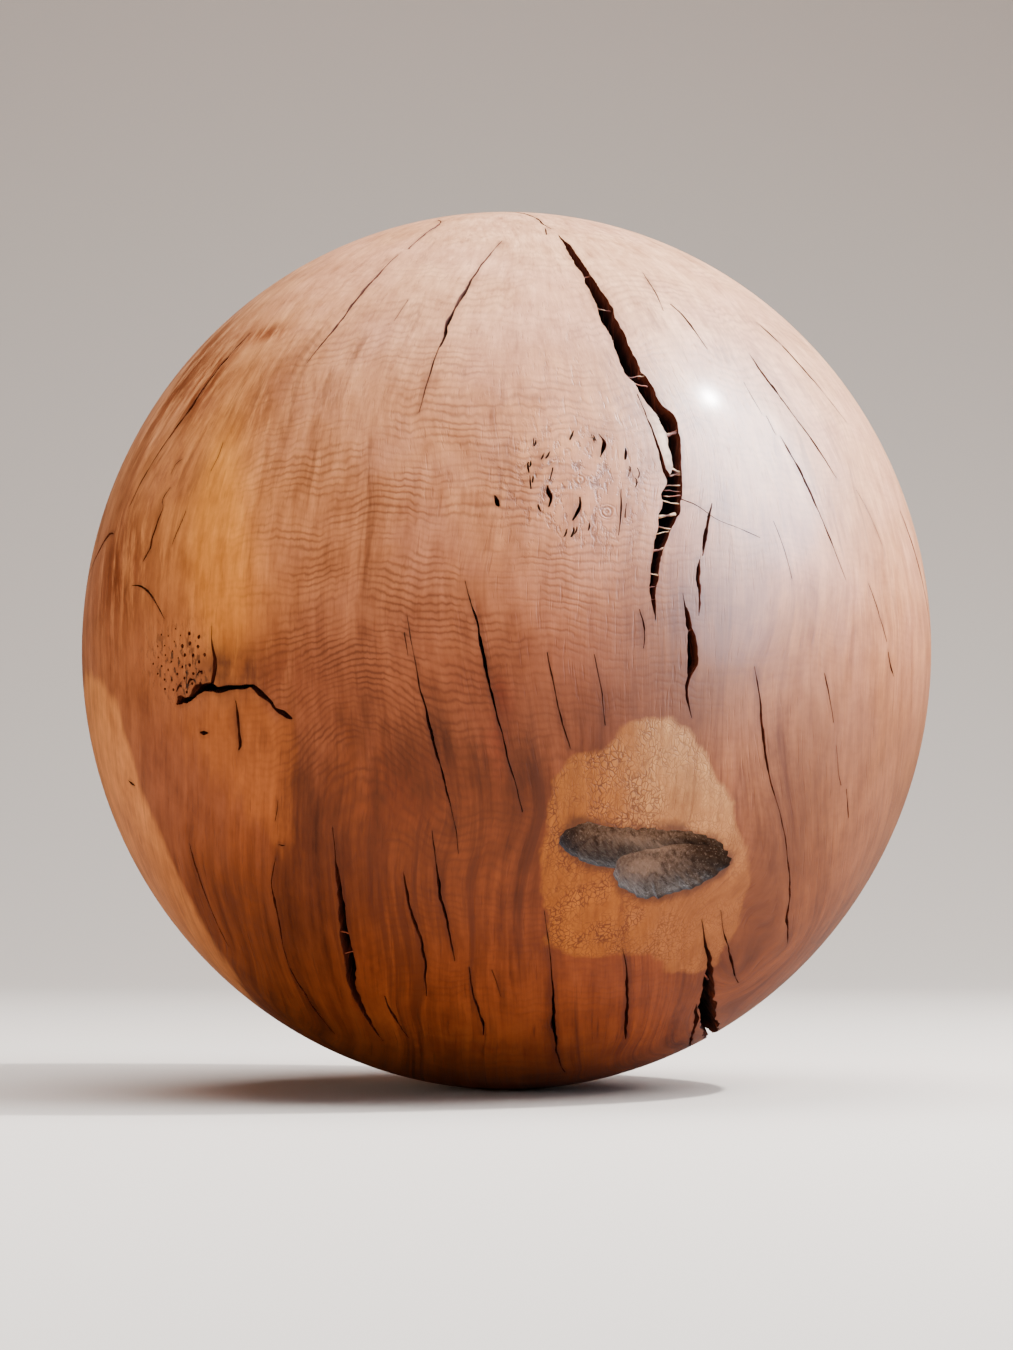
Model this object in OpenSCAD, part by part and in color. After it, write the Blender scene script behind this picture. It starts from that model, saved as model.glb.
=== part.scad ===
// Turned ball of solid oak, split by drying, with the hollow of a dead branch low on its front.
//
// Z is up, along the grain, and the origin is the middle of the ball. The front faces -Y.
// A place on the ball is [turn, rise] in degrees: turn goes right from the front, and rise goes up
// from the widest circle. A place on a crack has a third number, how far it is open there in mm.

/* [Ball] */
// Width across the grain
ball_w = 420; // [380:1:426]
// Height along the grain, which shrinks less as wood dries
ball_h = 434; // [430:1:475]

/* [Cracks] */
// Depth of a crack for each mm that it is open
crack_reach = 7; // [3:0.5:8]
// Depth that no crack goes past
crack_limit = 60; // [20:1:70]
// Number of fine checks round the back
back_checks = 18; // [0:1:24]

/* [Branch hollow] */
// Depth of the hollow's upper lobe
upper_depth = 17; // [8:1:22]
// Depth of the hollow's lower lobe
lower_depth = 13; // [6:1:18]

/* [Burr pits] */
// Number of pits in the small burr on the left
pit_count = 40; // [0:1:44]
// Width of a pit
pit_w = 1.5; // [1:0.1:1.7]

/* [Hidden] */
$fn = 96;
lift = 3 + (ball_h - ball_w) / 7;  // how far a cutter stands out of the surface
hollow_lift = lift + 4;            // the same for the wide cutters of the hollow
pit_depth = 2.5;
seam_turn = 180;  // puts the start of the round surface on the left, clear of every crack

// The wide split down the right of the front, and the thin one that leads over the crown.
main_split = [
    [15, 62.5, 0.36], [15.2, 60, 2.58], [15.6, 56.5, 3.1], [16, 53, 3.78], [16.6, 50, 5.2],
    [17.3, 45, 7], [17.9, 40, 7.2], [18.6, 36, 8], [19.3, 33, 8.6], [20.2, 31, 8],
    [21, 29, 7], [21.7, 27.5, 6], [22.7, 26.3, 7.4], [23.2, 24.5, 7], [23.2, 22, 6],
    [22.9, 19.5, 3.78], [22.4, 17.5, 7], [21.6, 15.5, 9], [20.8, 13, 8], [20, 11, 6],
    [19.2, 9, 5], [18.6, 7, 4.6], [18.3, 5, 3.44], [18.3, 3.5, 2.24], [18.5, 0.5, 0.3]
];
crown_split = [
    [14.1, 65.2, 0.4], [13, 67, 1], [12.8, 70, 1.3], [11.5, 73, 1.15], [8.5, 76.5, 1.01],
    [2, 80, 0.86], [-15, 84, 0.72], [-50, 86.5, 0.36]
];
splinter_gap = [
    [19, 29.5, 0.3], [19.8, 26, 0.86], [20.5, 23, 1.15], [20.9, 20.5, 1.73], [21.4, 18.5, 2.92],
    [21.8, 17, 2.24]
];

// Splits of the upper half, from left to right.
upper_splits = [
    [[-51, 42, 0.3], [-52.3, 39, 1.01], [-53.4, 36, 1.44], [-54.2, 33, 1.58], [-54.8, 30.5, 2.58],
     [-56, 28.5, 1.44], [-58.2, 25, 1.01], [-60.5, 21.5, 1.01], [-63, 17, 0.36]],
    [[-31, 72, 0.36], [-26, 70, 0.86], [-24.6, 67, 1.15], [-25, 63, 1.15], [-25.2, 58.5, 1.01]],
    [[-26.6, 57, 0.36], [-27.4, 52.5, 1.01], [-28.4, 48.5, 1.15], [-28.8, 46, 1.73],
     [-29.4, 43, 1.15], [-30.6, 39.5, 0.72], [-32.4, 35, 0.25]],
    [[-1.2, 60, 0.3], [-4.4, 54.5, 0.72], [-6.4, 50.5, 1.01], [-8, 46, 1.3], [-9.6, 41, 1.58],
     [-10.2, 37.5, 1.15], [-11.2, 32.5, 0.54], [-12.1, 26.5, 0.25]],
    [[12.2, 65.4, 0.3], [11.8, 64, 1], [11.4, 62.6, 0.3]],
    [[30.2, 52.5, 0.25], [29.8, 49, 0.72], [29, 44, 0.25]],
    [[31.4, 45.6, 0.3], [32.4, 44.2, 0.72], [33, 42, 0.86], [34, 37.4, 0.25]],
    [[38.4, 32.5, 0.25], [39, 29.8, 0.54], [39.5, 27.8, 0.25]],
    [[41.6, 24.8, 0.3], [42.4, 22.8, 1.01], [43.6, 19.8, 1.58], [44.6, 17, 1.15],
     [46.6, 11.6, 0.72], [48.8, 6.6, 0.25]],
    [[43, 37.5, 0.25], [43.4, 35.5, 1.01], [44, 33.4, 1.44], [46, 28.8, 1.15], [49.2, 23.2, 0.86],
     [51.2, 19.8, 0.3]],
    [[52, 44.2, 0.3], [53.6, 42, 1.15], [56.8, 36, 1.3], [60, 30.6, 0.72], [61.4, 28.6, 0.25]],
    [[70.6, 17, 0.36], [72, 14.5, 1.58], [73.8, 11.5, 2.24], [75.6, 8.6, 1.73], [77.6, 5.8, 1.44],
     [80, 3, 0.72], [82.5, 0.5, 0.3]]
];

// Splits about the widest circle.
middle_splits = [
    [[27.3, 15, 0.3], [26.6, 13.2, 1.2], [26, 11.5, 2.2], [25.5, 9.8, 1.5], [25.2, 8.4, 0.4]],
    [[24.7, 8, 0.4], [24.5, 6.8, 2], [24.4, 5.5, 1.9], [24.5, 4, 1.6], [24.3, 1.2, 0.3]],
    [[22.2, 3.8, 0.3], [22.8, 0.5, 2.24], [23.1, -1, 3.61], [23.5, -3, 4.6], [23.5, -4.5, 4.6],
     [23.1, -6, 2.24], [22.9, -7.5, 2.24], [23.1, -9, 1.15], [23.8, -11, 0.3]],
    [[16.5, 1.8, 0.3], [16.8, 0.6, 0.79], [17.1, -1.2, 0.79], [17, -2.8, 0.3]],
    [[-5, 5, 0.25], [-4.5, 3, 0.48], [-3.4, -0.6, 1.15], [-2.9, -3, 1.58], [-2.1, -7, 1.58],
     [-1.3, -10, 0.72], [0, -15, 0.72], [2.2, -22.6, 0.3]],
    [[-12.1, 1, 0.25], [-10.8, -6.5, 0.54], [-9.7, -11.5, 1.15], [-9.3, -13.5, 1.3],
     [-8.2, -18, 0.72], [-6.9, -24, 0.48], [-6.6, -28, 0.3]],
    [[5, -3.4, 0.25], [5.5, -6, 0.54], [6.6, -10.5, 0.72], [8.1, -14.8, 0.3]],
    [[10.8, -3.6, 0.25], [11.6, -7, 0.48], [12.4, -12, 0.25]],
    [[32.4, -4.6, 0.25], [33.8, -9.6, 0.79], [34.4, -12.2, 1.15], [37, -18, 0.54],
     [42, -24.8, 0.54], [49, -33.5, 0.79], [52, -37.2, 1.3], [58, -41.5, 0.25]],
    [[44.2, -5, 0.25], [44.8, -6.2, 0.86], [47, -11, 0.25]],
    [[53, -19.2, 0.25], [54.8, -21.6, 0.72], [56, -23, 0.25]],
    [[54, 6.4, 0.25], [55.4, 4, 0.72], [58.2, -0.6, 0.25]],
    [[58.6, -1.8, 0.36], [59.6, -3.6, 1.15], [60.6, -4.8, 0.36]]
];

// Splits of the lower half. The last two run on round the right, out of sight from the front.
lower_splits = [
    [[-51.8, -26.5, 0.3], [-52.6, -29, 1.01], [-53.8, -33, 0.72], [-57.5, -42, 0.25]],
    [[-34.8, -28.5, 0.3], [-37.5, -32.5, 0.72], [-38.8, -36.5, 1.15], [-43, -44.5, 0.48],
     [-45.6, -51.4, 1.15], [-50.4, -59.5, 0.36]],
    [[-24.2, -24.5, 0.36], [-25, -30, 1.01], [-25.4, -33, 2.24], [-26.2, -36, 3.61],
     [-27.2, -39.5, 5.2], [-28.3, -43, 5.6], [-29.8, -46.5, 5], [-31.3, -50, 3.61],
     [-32.6, -53.5, 2.75], [-33.6, -57, 1.44], [-35, -61, 0.48]],
    [[-25, -50.5, 0.3], [-25.7, -53.5, 1.15], [-26, -60, 0.3]],
    [[-14.9, -30.5, 0.3], [-14.9, -34, 1.15], [-14.2, -40, 1.15], [-14.4, -44.5, 1.3],
     [-16, -50.5, 0.3]],
    [[-10, -25, 0.25], [-9.8, -33, 1.3], [-9.4, -37, 1.3], [-8.9, -44, 0.3]],
    [[-6.6, -45, 0.25], [-6.3, -51.5, 1.01], [-5.4, -55.5, 1.15], [-5.6, -59, 0.48]],
    [[5.8, -36, 0.25], [7.5, -43, 0.48], [9.6, -51.5, 1.01], [10.4, -55, 1.58], [11.6, -58, 2.24],
     [13, -60.5, 1.44], [15, -64, 1.01], [19, -68, 0.72], [25, -71.5, 0.3]],
    [[20, -42, 0.3], [22.4, -46, 0.79], [24.6, -50, 1.3], [28.6, -56, 1.44], [33, -60.5, 0.3]],
    [[35.5, -36, 0.25], [38.5, -39.6, 0.54], [43, -43.2, 1.15], [48, -46.6, 0.72], [52, -48.4, 0.3]],
    [[44.5, -52.5, 0.3], [47, -54.2, 1.44], [51, -56.4, 2.24], [59.5, -60.4, 1.73],
     [72, -63.4, 1.44], [84, -64, 1.01], [97, -63.6, 0.3]],
    [[32.6, -37.4, 0.3], [36.4, -42, 1.15], [37.8, -43.2, 1.73], [39.6, -45, 2.58],
     [41.5, -47.2, 5], [44, -49.4, 7], [47.5, -52, 8], [52, -54.6, 8.4], [58, -57, 8.6],
     [65, -58.8, 8.6], [73, -60.2, 8], [82, -61, 6.6], [92, -61.2, 3.78], [108, -60, 0.36]]
];

// Cracks round the ingrown bark on the left.
bark_cracks = [
    [[-47, -8.8, 0.8], [-46, -8.3, 4.4], [-45, -8.3, 3.2], [-44, -7.9, 3], [-42.8, -7.2, 4.4],
     [-41.6, -7, 4.2], [-40.2, -6.8, 5.2], [-39.2, -7.2, 3], [-37.6, -7.1, 2.4], [-34.8, -7, 1.6],
     [-33.6, -6.9, 2.2], [-32.6, -7.5, 2.8], [-31, -8.7, 2.2], [-30.2, -9.7, 2], [-28.5, -10.7, 2.2],
     [-27.8, -11, 0.5]],
    [[-39.8, 0.5, 0.3], [-39.7, -1.5, 0.86], [-39.3, -3.5, 1.3], [-39.6, -5.5, 2.24]],
    [[-36.3, -8.6, 0.48], [-36.2, -10.5, 1.15], [-36.4, -13.5, 1.44], [-36.8, -14.6, 0.3]],
    [[-57.2, 6.4, 0.25], [-55, 6.2, 0.72], [-53, 5.5, 0.72], [-51.3, 4.2, 0.72], [-48.8, 1.8, 0.25]],
    [[-52, 18.6, 0.3], [-53.2, 17, 0.86], [-52.6, 15.8, 0.86], [-53.5, 12.5, 0.86],
     [-53.6, 10.9, 1.44], [-54.4, 10, 1.58], [-55, 9.2, 0.48]],
    [[-66.6, 13.6, 0.36], [-68.5, 13.8, 1.44], [-70.5, 13.2, 1.44], [-76, 10.6, 0.72], [-80, 9, 0.25]],
    [[-63.6, -17.9, 0.25], [-62.6, -18.2, 1.15], [-61.8, -18.6, 0.3]],
    [[-43.2, -12.2, 0.72], [-42.5, -12.4, 2.58], [-41.6, -12.4, 0.72]]
];

// Slits of the burr in the middle, between the crown and the widest circle.
burr_slits = [
    [[9.1, 24, 0.5], [8.8, 23.3, 1.4], [8.5, 22.7, 0.5]],
    [[12.5, 23.6, 0.5], [13.1, 22.6, 1.4], [12.9, 21.6, 1.6], [12.4, 20.5, 0.5]],
    [[5.7, 21.1, 0.5], [5.4, 20.6, 1.2], [5.1, 20.2, 0.5]],
    [[16, 21.8, 0.5], [15.9, 20.9, 1], [15.7, 20.2, 0.5]],
    [[2.9, 19.7, 0.5], [2.8, 19, 1], [2.9, 18.3, 0.5]],
    [[6, 19, 0.5], [5.8, 18, 1.1], [5.6, 17.2, 0.5]],
    [[5.3, 16.7, 0.6], [5.3, 15.8, 2], [5.5, 15, 1.4], [5.3, 14, 0.5]],
    [[9.4, 15.3, 0.5], [9.3, 14.2, 1.2], [9, 13.6, 2.2], [8.3, 12.3, 0.5]],
    [[8.4, 11.5, 0.5], [8.2, 10.9, 1.1], [8, 10.3, 0.5]],
    [[-1.5, 15.4, 1], [-1.2, 14.6, 3], [-0.9, 14, 1]]
];

// The rims of the branch hollow's two lobes, each clockwise. They overlap along a low ridge.
upper_rim = [
    [7.3, -26], [8.6, -24.7], [11, -23.9], [14, -24.5], [20, -24.7], [26, -25.1],
    [30.5, -26.2], [32.2, -27.8], [27, -29], [21, -30], [15.5, -30], [11, -29.1], [8.2, -27.6]
];
lower_rim = [
    [16.2, -29.2], [21, -27.6], [27, -27], [31.5, -27.4], [33.9, -28.6], [33, -30.2],
    [30, -32.2], [25, -33.7], [21.5, -34.2], [18, -33.1], [15.8, -31.2]
];

// Middle and half-size of the small burr on the left.
burr_at = [-46, -3.6];
burr_half = [5.6, 4.4];
golden_turn = 137.5;

function unit(v) = v / norm(v);
function mix(a, b, t) = a + (b - a) * t;
function part_of_one(x) = x - floor(x);

// The point of the ball at a place, moved out of the surface by out.
function spot(p, out = 0) = [
    (ball_w / 2 + out) * cos(p[1]) * sin(p[0]),
    -(ball_w / 2 + out) * cos(p[1]) * cos(p[0]),
    (ball_h / 2 + out) * sin(p[1])
];

// The direction across a crack at its point i, to the left as one walks along it.
function across(path, i) =
    let (last = len(path) - 1)
    let (ahead = spot(path[min(i + 1, last)]) - spot(path[max(i - 1, 0)]))
    unit(cross(ahead, spot(path[i])));

// Two triangles for each side between ring i and the next, with n points in a ring.
function skin(i, n) = [
    for (k = [0:n - 1])
    let (a = n * i + k, b = n * i + (k + 1) % n)
    each [[a, b, b + n], [a, b + n, a + n]]
];

// A wedge that narrows from the mouth of a crack to a line at its bottom.
module crack(path) {
    last = len(path) - 1;
    points = [
        for (i = [0:last])
        let (p = path[i], depth = min(crack_limit, 1 + crack_reach * p[2]))
        let (half = across(path, i) * p[2] / 2 * (1 + lift / depth))
        each [spot(p, lift) + half, spot(p, lift) - half, spot(p, -depth)]
    ];
    sides = [for (i = [0:last - 1]) each skin(i, 3)];
    ends = [[0, 2, 1], [3 * last, 3 * last + 1, 3 * last + 2]];
    polyhedron(points = points, faces = concat(sides, ends));
}

// A dish with a steep wall under its rim and a nearly flat floor. Its faces need the rim the other
// way round, which is what loop is.
module dish(rim, depth) {
    n = len(rim);
    loop = [for (k = [n - 1:-1:0]) rim[k]];
    middle = [for (p = rim) 1] * rim / n;
    // Each level is how far the rim has closed in, and how far out of the surface it is.
    levels = [[-0.1, hollow_lift], [0.1, -depth / 2], [0.3, -0.85 * depth], [0.65, -depth]];
    top = n * len(levels);
    floor_ring = n * (len(levels) - 1);
    rings = [for (level = levels, p = loop) spot(mix(p, middle, level[0]), level[1])];
    sides = [for (i = [0:len(levels) - 2]) each skin(i, n)];
    lid = [for (k = [0:n - 1]) [(k + 1) % n, k, top]];
    bottom = [for (k = [0:n - 1]) [floor_ring + k, floor_ring + (k + 1) % n, top + 1]];
    polyhedron(
        points = concat(rings, [spot(middle, hollow_lift), spot(middle, -depth)]),
        faces = concat(sides, lid, bottom)
    );
}

// Small round pits, spread like the seeds of a sunflower.
module pits() {
    for (i = [0:1:pit_count - 1]) {
        reach = sqrt((i + 0.5) / pit_count);
        at = burr_at + reach * [burr_half[0] * sin(i * golden_turn), burr_half[1] * cos(i * golden_turn)];
        wide = pit_w * (0.6 + 0.9 * part_of_one(i * 0.62));
        translate(spot(at, -pit_depth))
            rotate([0, 90 - at[1], at[0] - 90])
                cylinder(h = pit_depth + lift, d1 = wide / 2, d2 = 1.5 * wide, $fn = 12);
    }
}

// Fine checks round the back, each one narrowing to both of its ends.
module back_cracks() {
    for (i = [0:1:back_checks - 1]) {
        turn = 98 + 164 * (i + 0.5) / back_checks;
        rise = 56 * (2 * part_of_one(0.62 * i + 0.1) - 1);
        half_length = 6 + 11 * part_of_one(0.76 * i);
        slant = 3 * sin(131 * i);
        open = 0.6 + 1.8 * part_of_one(0.57 * i);
        crack([for (t = [-1:0.5:1]) [turn + slant * t, rise + half_length * t, 0.4 + open * (1 - t * t)]]);
    }
}

// Two rounds of the ball's width set a little apart, and a band that fills the crease between them.
module turned_round() {
    apart = ball_h - ball_w;
    rotate([0, 0, seam_turn])
        for (side = [-1, 1])
            translate([0, 0, side * apart / 2])
                sphere(d = ball_w);
    cylinder(d = ball_w - pow(apart, 2) / (8 * ball_w), h = 0.75 * apart, center = true);
}

module ball() {
    color("peru")
        difference() {
            turned_round();
            for (path = concat([main_split, crown_split, splinter_gap], upper_splits, middle_splits))
                crack(path);
            for (path = concat(lower_splits, bark_cracks, burr_slits))
                crack(path);
            dish(upper_rim, upper_depth);
            dish(lower_rim, lower_depth);
            pits();
            back_cracks();
        }
}

ball();
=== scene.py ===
import bpy
import numpy as np
from math import ceil, cos, pi, radians, sin, sqrt
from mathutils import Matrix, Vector, kdtree, noise
from numpy.linalg import norm


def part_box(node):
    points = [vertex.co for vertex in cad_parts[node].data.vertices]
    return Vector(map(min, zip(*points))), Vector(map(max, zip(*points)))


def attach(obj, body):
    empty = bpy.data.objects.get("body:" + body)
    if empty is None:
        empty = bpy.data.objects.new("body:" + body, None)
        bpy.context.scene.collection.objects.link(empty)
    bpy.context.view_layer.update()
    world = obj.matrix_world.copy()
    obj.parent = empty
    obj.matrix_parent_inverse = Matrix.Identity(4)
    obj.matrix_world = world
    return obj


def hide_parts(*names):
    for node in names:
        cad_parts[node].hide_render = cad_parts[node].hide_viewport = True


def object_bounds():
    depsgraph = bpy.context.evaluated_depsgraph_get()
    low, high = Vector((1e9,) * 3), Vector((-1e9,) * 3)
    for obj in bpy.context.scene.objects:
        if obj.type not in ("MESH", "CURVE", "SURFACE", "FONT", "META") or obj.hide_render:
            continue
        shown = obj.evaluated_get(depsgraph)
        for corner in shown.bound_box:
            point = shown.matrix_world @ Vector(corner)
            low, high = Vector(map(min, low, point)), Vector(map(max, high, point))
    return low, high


# A turned ball of oak, split by drying. Metres, Z up along the grain, front towards -Y.
# A place on the ball is (turn, rise) in degrees: turn to the right from the front, rise up from the
# widest circle. A crack's points carry a third number, how far it is open there in millimetres, unless
# it's as narrow there as a crack gets.

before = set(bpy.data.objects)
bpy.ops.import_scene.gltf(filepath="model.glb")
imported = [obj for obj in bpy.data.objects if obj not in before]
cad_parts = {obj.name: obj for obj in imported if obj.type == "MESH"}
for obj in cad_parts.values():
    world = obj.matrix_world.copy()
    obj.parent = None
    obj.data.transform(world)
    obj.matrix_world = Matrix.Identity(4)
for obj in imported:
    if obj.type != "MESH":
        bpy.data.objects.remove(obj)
cadLow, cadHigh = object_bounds()
mm = 0.001

nodeLow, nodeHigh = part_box("ball")
halfWide = (nodeHigh.x - nodeLow.x) / 2
halfTall = (nodeHigh.z - nodeLow.z) / 2


def direction(turn, rise):
    t, r = radians(turn), radians(rise)
    return np.array([cos(r) * sin(t), -cos(r) * cos(t), sin(r)])


def onBall(unit, out=0.0):
    # unit may be one direction or an array of them, and out stands off the surface in metres
    return np.asarray(unit) * np.array([halfWide + out, halfWide + out, halfTall + out])


def alongSurface(unit):
    # the level and the upright direction along the surface at a place
    level = np.cross(unit, (0, 0, 1))
    level /= norm(level)
    return level, np.cross(level, unit)


def mode(name):
    bpy.ops.object.mode_set(mode=name)


def bumpy(x, y, z):
    return noise.noise(Vector((x, y, z)))


def selectOnly(piece):
    bpy.ops.object.select_all(action="DESELECT")
    piece.select_set(True)
    bpy.context.view_layer.objects.active = piece


def faceOutwards(piece, triangles=False):
    selectOnly(piece)
    mode("EDIT")
    bpy.ops.mesh.select_all(action="SELECT")
    if triangles:
        bpy.ops.mesh.quads_convert_to_tris(quad_method="BEAUTY", ngon_method="BEAUTY")
    bpy.ops.mesh.normals_make_consistent(inside=False)
    mode("OBJECT")


def meshPiece(name, points, faces):
    mesh = bpy.data.meshes.new(name)
    mesh.from_pydata([tuple(p) for p in points], [], faces)
    piece = bpy.data.objects.new(name, mesh)
    bpy.context.scene.collection.objects.link(piece)
    return piece


def ringFaces(start, sides, rings):
    # faces between closed rings of points that follow each other in the list
    faces = []
    for first in range(start, start + sides * (rings - 1), sides):
        for k in range(sides):
            a, b = first + k, first + (k + 1) % sides
            faces.append((a, a + sides, b + sides, b))
    return faces


def tubeFaces(start, sides, rings):
    last = start + sides * (rings - 1)
    ends = [tuple(range(start, start + sides)), tuple(reversed(range(last, last + sides)))]
    return ringFaces(start, sides, rings) + ends


cracks = {}    # the groups are cut out of the ball one after the other

cracks["main"] = [
    [(15, 62.5, 0.36), (15.2, 60, 2.58), (15.6, 56.5, 3.1), (16, 53, 3.78), (16.6, 50, 5.2), (17.3, 45, 7),
     (17.9, 40, 7.2), (18.6, 36, 8), (19.3, 33, 8.6), (20.2, 31, 8), (21, 29, 7), (21.7, 27.5, 6),
     (22.7, 26.3, 7.4), (23.2, 24.5, 7), (23.2, 22, 6), (22.9, 19.5, 3.78), (22.4, 17.5, 7),
     (21.6, 15.5, 9), (20.8, 13, 8), (20, 11, 6), (19.2, 9, 5), (18.6, 7, 4.6), (18.3, 5, 3.44),
     (18.3, 3.5, 2.24), (18.5, 0.5, 0.3)],
    [(14.1, 65.2, 0.4), (13, 67, 1), (12.8, 70, 1.3), (11.5, 73, 1.15), (8.5, 76.5, 1.01), (2, 80, 0.86),
     (-15, 84, 0.72), (-50, 86.5, 0.36)],
]

cracks["splinter"] = [
    [(19, 29.5, 0.3), (19.8, 26, 0.86), (20.5, 23, 1.15), (20.9, 20.5, 1.73), (21.4, 18.5, 2.92),
     (21.8, 17, 2.24)],
]

cracks["hair"] = [
    [(22.6, 15.5, 0.42), (25, 14.7, 0.36), (26.5, 13.7, 0.3), (28, 12.9, 0.27), (31, 12), (34, 11)],
]

cracks["upper"] = [
    [(-51, 42, 0.3), (-52.3, 39, 1.01), (-53.4, 36, 1.44), (-54.2, 33, 1.58), (-54.8, 30.5, 2.58),
     (-56, 28.5, 1.44), (-58.2, 25, 1.01), (-60.5, 21.5, 1.01), (-63, 17, 0.36)],
    [(-31, 72, 0.36), (-26, 70, 0.86), (-24.6, 67, 1.15), (-25, 63, 1.15), (-25.2, 58.5, 1.01)],
    [(-26.6, 57, 0.36), (-27.4, 52.5, 1.01), (-28.4, 48.5, 1.15), (-28.8, 46, 1.73), (-29.4, 43, 1.15),
     (-30.6, 39.5, 0.72), (-32.4, 35)],
    [(-1.2, 60, 0.3), (-4.4, 54.5, 0.72), (-6.4, 50.5, 1.01), (-8, 46, 1.3), (-9.6, 41, 1.58),
     (-10.2, 37.5, 1.15), (-11.2, 32.5, 0.54), (-12.1, 26.5)],
    [(-18, 45.5), (-19, 42, 0.36), (-19.2, 41.5)], [(12.2, 65.4, 0.3), (11.8, 64, 1), (11.4, 62.6, 0.3)],
    [(30.2, 52.5), (29.8, 49, 0.72), (29, 44)],
    [(31.4, 45.6, 0.3), (32.4, 44.2, 0.72), (33, 42, 0.86), (34, 37.4)],
    [(38.4, 32.5), (39, 29.8, 0.54), (39.5, 27.8)], [(40.2, 27.6), (40.7, 25.4, 0.3), (40.9, 24.9)],
    [(41.6, 24.8, 0.3), (42.4, 22.8, 1.01), (43.6, 19.8, 1.58), (44.6, 17, 1.15), (46.6, 11.6, 0.72),
     (48.8, 6.6)],
    [(43, 37.5), (43.4, 35.5, 1.01), (44, 33.4, 1.44), (46, 28.8, 1.15), (49.2, 23.2, 0.86),
     (51.2, 19.8, 0.3)],
    [(52, 44.2, 0.3), (53.6, 42, 1.15), (56.8, 36, 1.3), (60, 30.6, 0.72), (61.4, 28.6)],
    [(55.6, 18.6), (57.6, 15.4, 0.3), (59.4, 11.6)],
    [(70.6, 17, 0.36), (72, 14.5, 1.58), (73.8, 11.5, 2.24), (75.6, 8.6, 1.73), (77.6, 5.8, 1.44),
     (80, 3, 0.72), (82.5, 0.5, 0.3)],
]

cracks["middle"] = [
    [(27.3, 15, 0.3), (26.6, 13.2, 1.2), (26, 11.5, 2.2), (25.5, 9.8, 1.5), (25.2, 8.4, 0.4)],
    [(24.7, 8, 0.4), (24.5, 6.8, 2), (24.4, 5.5, 1.9), (24.5, 4, 1.6), (24.3, 1.2, 0.3)],
    [(22.2, 3.8, 0.3), (22.8, 0.5, 2.24), (23.1, -1, 3.61), (23.5, -3, 4.6), (23.5, -4.5, 4.6),
     (23.1, -6, 2.24), (22.9, -7.5, 2.24), (23.1, -9, 1.15), (23.8, -11, 0.3)],
    [(16.5, 1.8, 0.3), (16.8, 0.6, 0.79), (17.1, -1.2, 0.79), (17, -2.8, 0.3)],
    [(-5, 5), (-4.5, 3, 0.48), (-3.4, -0.6, 1.15), (-2.9, -3, 1.58), (-2.1, -7, 1.58), (-1.3, -10, 0.72),
     (0, -15, 0.72), (2.2, -22.6, 0.3)],
    [(-12.1, 1), (-10.8, -6.5, 0.54), (-9.7, -11.5, 1.15), (-9.3, -13.5, 1.3), (-8.2, -18, 0.72),
     (-6.9, -24, 0.48), (-6.6, -28, 0.3)],
    [(-12.4, -1), (-12.1, -3.2, 0.3), (-12, -3.8)],
    [(5, -3.4), (5.5, -6, 0.54), (6.6, -10.5, 0.72), (8.1, -14.8, 0.3)],
    [(10.8, -3.6), (11.6, -7, 0.48), (12.4, -12)],
    [(32.4, -4.6), (33.8, -9.6, 0.79), (34.4, -12.2, 1.15), (37, -18, 0.54), (42, -24.8, 0.54),
     (49, -33.5, 0.79), (52, -37.2, 1.3), (58, -41.5)],
    [(36.6, 13.2), (37.8, 9.6, 0.27), (38.6, 6.2)], [(44.2, -5), (44.8, -6.2, 0.86), (47, -11)],
    [(48.4, -13.8), (50, -17, 0.42), (51.5, -18.8)], [(53, -19.2), (54.8, -21.6, 0.72), (56, -23)],
    [(54, 6.4), (55.4, 4, 0.72), (58.2, -0.6)],
    [(58.6, -1.8, 0.36), (59.6, -3.6, 1.15), (60.6, -4.8, 0.36)],
]

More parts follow.
